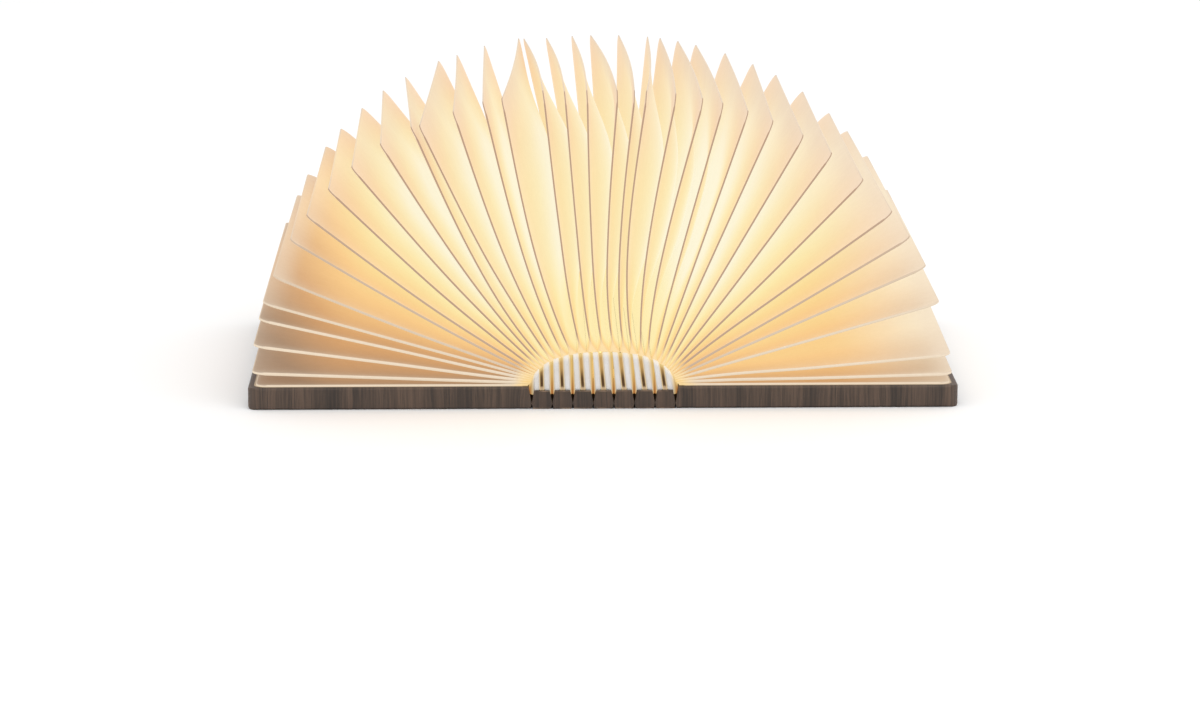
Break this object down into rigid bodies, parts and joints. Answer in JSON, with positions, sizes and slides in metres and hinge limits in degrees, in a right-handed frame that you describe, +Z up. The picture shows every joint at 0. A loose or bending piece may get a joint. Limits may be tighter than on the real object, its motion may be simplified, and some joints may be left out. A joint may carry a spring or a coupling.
{
  "type": "folding book lamp",
  "caption": "Lamp shaped like a book: wooden covers joined by a slatted spine open to spread a fan of lit paper leaves.",
  "frame": {"origin": "on the ground, under the middle of the spine, halfway from front to back", "axes": "+Z up, +X towards the right cover, +Y towards the back, where the charging socket is"},
  "size_m": [0.1956, 0.122, 0.0876],
  "materials": {
    "walnut": "oiled dark walnut, fine straight grain",
    "leaf_paper": "matt translucent sheet",
    "liner_paper": "matt paper",
    "rib_paper": "matt white",
    "lining_cloth": "close weave",
    "strip": "light strip with chips",
    "diffuser": "milky",
    "cable": "flat amber film",
    "battery_foil": "satin foil",
    "board": "lacquered board",
    "socket_metal": "stamped shell",
    "switch_glass": "sealed switch",
    "magnet_plate": "bright plated"
  },
  "bodies": {
    "spine_middle": {"slat_4": "walnut", "led_strip": "strip", "light_diffuser": "diffuser", "spine_lining": "lining_cloth", "gusset_front": "rib_paper", "gusset_back": "rib_paper", "flex_cable": "cable"},
    "left_cover": {"left_cover_board": "walnut", "left_liner": "liner_paper", "left_magnets": "magnet_plate", "leaf_01": "leaf_paper"},
    "right_cover": {"right_cover_board": "walnut", "right_liner": "liner_paper", "right_magnets": "magnet_plate", "battery": "battery_foil", "control_board": "board", "charging_socket": "socket_metal", "lid_switch": "switch_glass", "leaf_37": "leaf_paper"},
    "slat_1": {"slat_1": "walnut"},
    "slat_2": {"slat_2": "walnut"},
    "slat_3": {"slat_3": "walnut"},
    "slat_5": {"slat_5": "walnut"},
    "slat_6": {"slat_6": "walnut"},
    "slat_7": {"slat_7": "walnut"},
    "leaf_02": {"leaf_02": "leaf_paper"},
    "leaf_03": {"leaf_03": "leaf_paper"},
    "leaf_04": {"leaf_04": "leaf_paper"},
    "leaf_05": {"leaf_05": "leaf_paper"},
    "leaf_06": {"leaf_06": "leaf_paper"},
    "leaf_07": {"leaf_07": "leaf_paper"},
    "leaf_08": {"leaf_08": "leaf_paper"},
    "leaf_09": {"leaf_09": "leaf_paper"},
    "leaf_10": {"leaf_10": "leaf_paper"},
    "leaf_11": {"leaf_11": "leaf_paper"},
    "leaf_12": {"leaf_12": "leaf_paper"},
    "leaf_13": {"leaf_13": "leaf_paper"},
    "leaf_14": {"leaf_14": "leaf_paper"},
    "leaf_15": {"leaf_15": "leaf_paper"},
    "leaf_16": {"leaf_16": "leaf_paper"},
    "leaf_17": {"leaf_17": "leaf_paper"},
    "leaf_18": {"leaf_18": "leaf_paper"},
    "leaf_19": {"leaf_19": "leaf_paper"},
    "leaf_20": {"leaf_20": "leaf_paper"},
    "leaf_21": {"leaf_21": "leaf_paper"},
    "leaf_22": {"leaf_22": "leaf_paper"},
    "leaf_23": {"leaf_23": "leaf_paper"},
    "leaf_24": {"leaf_24": "leaf_paper"},
    "leaf_25": {"leaf_25": "leaf_paper"},
    "leaf_26": {"leaf_26": "leaf_paper"},
    "leaf_27": {"leaf_27": "leaf_paper"},
    "leaf_28": {"leaf_28": "leaf_paper"},
    "leaf_29": {"leaf_29": "leaf_paper"},
    "leaf_30": {"leaf_30": "leaf_paper"},
    "leaf_31": {"leaf_31": "leaf_paper"},
    "leaf_32": {"leaf_32": "leaf_paper"},
    "leaf_33": {"leaf_33": "leaf_paper"},
    "leaf_34": {"leaf_34": "leaf_paper"},
    "leaf_35": {"leaf_35": "leaf_paper"},
    "leaf_36": {"leaf_36": "leaf_paper"}
  },
  "joints": [
    {"name": "right_spine_fold_1", "type": "hinge", "parent": "spine_middle", "child": "slat_5", "pos_m": [0.00282, 0, 0.0015], "axis": [0, -1, 0], "range_deg": [-24.6, 22.5]},
    {"name": "right_spine_fold_2", "type": "hinge", "parent": "slat_5", "child": "slat_6", "pos_m": [0.00847, 0, 0.0015], "axis": [0, -1, 0], "range_deg": [-24.6, 22.5]},
    {"name": "right_spine_fold_3", "type": "hinge", "parent": "slat_6", "child": "slat_7", "pos_m": [0.01413, 0, 0.0015], "axis": [0, -1, 0], "range_deg": [-24.6, 22.5]},
    {"name": "right_cover_fold", "type": "hinge", "parent": "slat_7", "child": "right_cover", "pos_m": [0.01978, 0, 0.0015], "axis": [0, -1, 0], "range_deg": [-24.6, 22.5], "deforming": ["spine_lining", "gusset_front", "gusset_back", "flex_cable"]},
    {"name": "left_spine_fold_1", "type": "hinge", "parent": "spine_middle", "child": "slat_3", "pos_m": [-0.00282, 0, 0.0015], "axis": [0, 1, 0], "range_deg": [-24.6, 22.5]},
    {"name": "left_spine_fold_2", "type": "hinge", "parent": "slat_3", "child": "slat_2", "pos_m": [-0.00847, 0, 0.0015], "axis": [0, 1, 0], "range_deg": [-24.6, 22.5]},
    {"name": "left_spine_fold_3", "type": "hinge", "parent": "slat_2", "child": "slat_1", "pos_m": [-0.01413, 0, 0.0015], "axis": [0, 1, 0], "range_deg": [-24.6, 22.5]},
    {"name": "left_cover_fold", "type": "hinge", "parent": "slat_1", "child": "left_cover", "pos_m": [-0.01978, 0, 0.0015], "axis": [0, 1, 0], "range_deg": [-24.6, 22.5]},
    {"name": "leaf_02_turn", "type": "hinge", "parent": "slat_1", "child": "leaf_02", "pos_m": [-0.01987, 0, 0.0028], "axis": [0, 1, 0], "range_deg": [-22.4, 20.49]},
    {"name": "leaf_03_turn", "type": "hinge", "parent": "slat_1", "child": "leaf_03", "pos_m": [-0.0196, 0, 0.00264], "axis": [0, 1, 0], "range_deg": [-18.29, 16.73]},
    {"name": "leaf_04_turn", "type": "hinge", "parent": "slat_1", "child": "leaf_04", "pos_m": [-0.01923, 0, 0.00174], "axis": [0, 1, 0], "range_deg": [-12.78, 11.69]},
    {"name": "leaf_05_turn", "type": "hinge", "parent": "left_cover", "child": "leaf_05", "pos_m": [-0.02048, 0, 0.00264], "axis": [0, -1, 0], "range_deg": [-18.27, 16.71]},
    {"name": "leaf_06_turn", "type": "hinge", "parent": "left_cover", "child": "leaf_06", "pos_m": [-0.02048, 0, 0.00359], "axis": [0, -1, 0], "range_deg": [-25.26, 23.11]},
    {"name": "leaf_07_turn", "type": "hinge", "parent": "slat_1", "child": "leaf_07", "pos_m": [-0.01998, 0, 0.01308], "axis": [0, -1, 0], "range_deg": [-7.89, 7.21]},
    {"name": "leaf_08_turn", "type": "hinge", "parent": "slat_1", "child": "leaf_08", "pos_m": [-0.0192, 0, 0.01008], "axis": [0, -1, 0], "range_deg": [-15.09, 13.8]},
    {"name": "leaf_09_turn", "type": "hinge", "parent": "slat_1", "child": "leaf_09", "pos_m": [-0.01865, 0, 0.00906], "axis": [0, -1, 0], "range_deg": [-22.08, 20.19]},
    {"name": "leaf_10_turn", "type": "hinge", "parent": "slat_1", "child": "leaf_10", "pos_m": [-0.01811, 0, 0.00851], "axis": [0, -1, 0], "range_deg": [-28.7, 26.25]},
    {"name": "leaf_11_turn", "type": "hinge", "parent": "slat_1", "child": "leaf_11", "pos_m": [-0.01751, 0, 0.00808], "axis": [0, -1, 0], "range_deg": [-34.86, 31.88]},
    {"name": "leaf_12_turn", "type": "hinge", "parent": "slat_1", "child": "leaf_12", "pos_m": [-0.01685, 0, 0.00764], "axis": [0, -1, 0], "range_deg": [-40.49, 37.03]},
    {"name": "leaf_13_turn", "type": "hinge", "parent": "slat_2", "child": "leaf_13", "pos_m": [-0.0159, 0, 0.01409], "axis": [0, -1, 0], "range_deg": [-20.98, 19.19]},
    {"name": "leaf_14_turn", "type": "hinge", "parent": "slat_2", "child": "leaf_14", "pos_m": [-0.01436, 0, 0.01131], "axis": [0, -1, 0], "range_deg": [-25.54, 23.36]},
    {"name": "leaf_15_turn", "type": "hinge", "parent": "slat_2", "child": "leaf_15", "pos_m": [-0.01296, 0, 0.00888], "axis": [0, -1, 0], "range_deg": [-29.61, 27.09]},
    {"name": "leaf_16_turn", "type": "hinge", "parent": "slat_2", "child": "leaf_16", "pos_m": [-0.01161, 0, 0.00649], "axis": [0, -1, 0], "range_deg": [-33.27, 30.43]},
    {"name": "leaf_17_turn", "type": "hinge", "parent": "slat_3", "child": "leaf_17", "pos_m": [-0.01239, 0, 0.01002], "axis": [0, -1, 0], "range_deg": [-11.99, 10.96]},
    {"name": "leaf_18_turn", "type": "hinge", "parent": "slat_3", "child": "leaf_18", "pos_m": [-0.00994, 0, 0.00158], "axis": [0, -1, 0], "range_deg": [-15.08, 13.79]},
    {"name": "leaf_19_turn", "type": "hinge", "parent": "slat_5", "child": "leaf_19", "pos_m": [0.00608, 0, 0.00408], "axis": [0, 1, 0], "range_deg": [-31.17, 28.51]},
    {"name": "leaf_20_turn", "type": "hinge", "parent": "slat_5", "child": "leaf_20", "pos_m": [0.00755, 0, 0.00842], "axis": [0, 1, 0], "range_deg": [-28.2, 25.79]},
    {"name": "leaf_21_turn", "type": "hinge", "parent": "slat_5", "child": "leaf_21", "pos_m": [0.00928, 0, 0.01303], "axis": [0, 1, 0], "range_deg": [-25.11, 22.96]},
    {"name": "leaf_22_turn", "type": "hinge", "parent": "slat_5", "child": "leaf_22", "pos_m": [0.01131, 0, 0.01811], "axis": [0, 1, 0], "range_deg": [-21.78, 19.92]},
    {"name": "leaf_23_turn", "type": "hinge", "parent": "slat_6", "child": "leaf_23", "pos_m": [0.01263, 0, 0.01066], "axis": [0, 1, 0], "range_deg": [-42.7, 39.06]},
    {"name": "leaf_24_turn", "type": "hinge", "parent": "slat_6", "child": "leaf_24", "pos_m": [0.01387, 0, 0.0122], "axis": [0, 1, 0], "range_deg": [-38.58, 35.29]},
    {"name": "leaf_25_turn", "type": "hinge", "parent": "slat_6", "child": "leaf_25", "pos_m": [0.0151, 0, 0.01377], "axis": [0, 1, 0], "range_deg": [-33.94, 31.04]},
    {"name": "leaf_26_turn", "type": "hinge", "parent": "slat_6", "child": "leaf_26", "pos_m": [0.01637, 0, 0.01556], "axis": [0, 1, 0], "range_deg": [-28.71, 26.26]},
    {"name": "leaf_27_turn", "type": "hinge", "parent": "slat_7", "child": "leaf_27", "pos_m": [0.01747, 0, 0.00909], "axis": [0, 1, 0], "range_deg": [-47.46, 43.41]},
    {"name": "leaf_28_turn", "type": "hinge", "parent": "slat_7", "child": "leaf_28", "pos_m": [0.01801, 0, 0.00931], "axis": [0, 1, 0], "range_deg": [-41, 37.5]},
    {"name": "leaf_29_turn", "type": "hinge", "parent": "slat_7", "child": "leaf_29", "pos_m": [0.01847, 0, 0.00957], "axis": [0, 1, 0], "range_deg": [-33.95, 31.05]},
    {"name": "leaf_30_turn", "type": "hinge", "parent": "slat_7", "child": "leaf_30", "pos_m": [0.01887, 0, 0.01], "axis": [0, 1, 0], "range_deg": [-26.38, 24.13]},
    {"name": "leaf_31_turn", "type": "hinge", "parent": "slat_7", "child": "leaf_31", "pos_m": [0.01922, 0, 0.01094], "axis": [0, 1, 0], "range_deg": [-18.41, 16.84]},
    {"name": "leaf_32_turn", "type": "hinge", "parent": "right_cover", "child": "leaf_32", "pos_m": [0.02042, 0, 0.00506], "axis": [0, 1, 0], "range_deg": [-34.81, 31.84]},
    {"name": "leaf_33_turn", "type": "hinge", "parent": "right_cover", "child": "leaf_33", "pos_m": [0.02042, 0, 0.00443], "axis": [0, 1, 0], "range_deg": [-26.59, 24.32]},
    {"name": "leaf_34_turn", "type": "hinge", "parent": "right_cover", "child": "leaf_34", "pos_m": [0.0203, 0, 0.00357], "axis": [0, 1, 0], "range_deg": [-18.63, 17.04]},
    {"name": "leaf_35_turn", "type": "hinge", "parent": "right_cover", "child": "leaf_35", "pos_m": [0.0199, 0, 0.00216], "axis": [0, 1, 0], "range_deg": [-11.26, 10.3]},
    {"name": "leaf_36_turn", "type": "hinge", "parent": "slat_7", "child": "leaf_36", "pos_m": [0.01997, 0, 0.00226], "axis": [0, -1, 0], "range_deg": [-19.72, 18.04]}
  ],
  "couplings": [
    {"joint": "right_spine_fold_1", "follows": "right_cover_fold", "ratio": 1},
    {"joint": "right_spine_fold_2", "follows": "right_cover_fold", "ratio": 1},
    {"joint": "right_spine_fold_3", "follows": "right_cover_fold", "ratio": 1},
    {"joint": "left_spine_fold_1", "follows": "right_cover_fold", "ratio": 1},
    {"joint": "left_spine_fold_2", "follows": "right_cover_fold", "ratio": 1},
    {"joint": "left_spine_fold_3", "follows": "right_cover_fold", "ratio": 1},
    {"joint": "left_cover_fold", "follows": "right_cover_fold", "ratio": 1},
    {"joint": "leaf_02_turn", "follows": "right_cover_fold", "ratio": 0.91028},
    {"joint": "leaf_03_turn", "follows": "right_cover_fold", "ratio": 0.7429},
    {"joint": "leaf_04_turn", "follows": "right_cover_fold", "ratio": 0.51921},
    {"joint": "leaf_05_turn", "follows": "right_cover_fold", "ratio": 0.74242},
    {"joint": "leaf_06_turn", "follows": "right_cover_fold", "ratio": 1.0265},
    {"joint": "leaf_07_turn", "follows": "right_cover_fold", "ratio": 0.32016},
    {"joint": "leaf_08_turn", "follows": "right_cover_fold", "ratio": 0.61306},
    {"joint": "leaf_09_turn", "follows": "right_cover_fold", "ratio": 0.89708},
    {"joint": "leaf_10_turn", "follows": "right_cover_fold", "ratio": 1.1663},
    {"joint": "leaf_11_turn", "follows": "right_cover_fold", "ratio": 1.4165},
    {"joint": "leaf_12_turn", "follows": "right_cover_fold", "ratio": 1.6455},
    {"joint": "leaf_13_turn", "follows": "right_cover_fold", "ratio": 0.85235},
    {"joint": "leaf_14_turn", "follows": "right_cover_fold", "ratio": 1.0377},
    {"joint": "leaf_15_turn", "follows": "right_cover_fold", "ratio": 1.2033},
    {"joint": "leaf_16_turn", "follows": "right_cover_fold", "ratio": 1.3519},
    {"joint": "leaf_17_turn", "follows": "right_cover_fold", "ratio": 0.48689},
    {"joint": "leaf_18_turn", "follows": "right_cover_fold", "ratio": 0.61252},
    {"joint": "leaf_19_turn", "follows": "right_cover_fold", "ratio": 1.2667},
    {"joint": "leaf_20_turn", "follows": "right_cover_fold", "ratio": 1.1458},
    {"joint": "leaf_21_turn", "follows": "right_cover_fold", "ratio": 1.0201},
    {"joint": "leaf_22_turn", "follows": "right_cover_fold", "ratio": 0.8848},
    {"joint": "leaf_23_turn", "follows": "right_cover_fold", "ratio": 1.7354},
    {"joint": "leaf_24_turn", "follows": "right_cover_fold", "ratio": 1.5679},
    {"joint": "leaf_25_turn", "follows": "right_cover_fold", "ratio": 1.3791},
    {"joint": "leaf_26_turn", "follows": "right_cover_fold", "ratio": 1.1666},
    {"joint": "leaf_27_turn", "follows": "right_cover_fold", "ratio": 1.929},
    {"joint": "leaf_28_turn", "follows": "right_cover_fold", "ratio": 1.6663},
    {"joint": "leaf_29_turn", "follows": "right_cover_fold", "ratio": 1.3796},
    {"joint": "leaf_30_turn", "follows": "right_cover_fold", "ratio": 1.072},
    {"joint": "leaf_31_turn", "follows": "right_cover_fold", "ratio": 0.74815},
    {"joint": "leaf_32_turn", "follows": "right_cover_fold", "ratio": 1.4147},
    {"joint": "leaf_33_turn", "follows": "right_cover_fold", "ratio": 1.0806},
    {"joint": "leaf_34_turn", "follows": "right_cover_fold", "ratio": 0.75692},
    {"joint": "leaf_35_turn", "follows": "right_cover_fold", "ratio": 0.45748},
    {"joint": "leaf_36_turn", "follows": "right_cover_fold", "ratio": 0.80128}
  ]
}
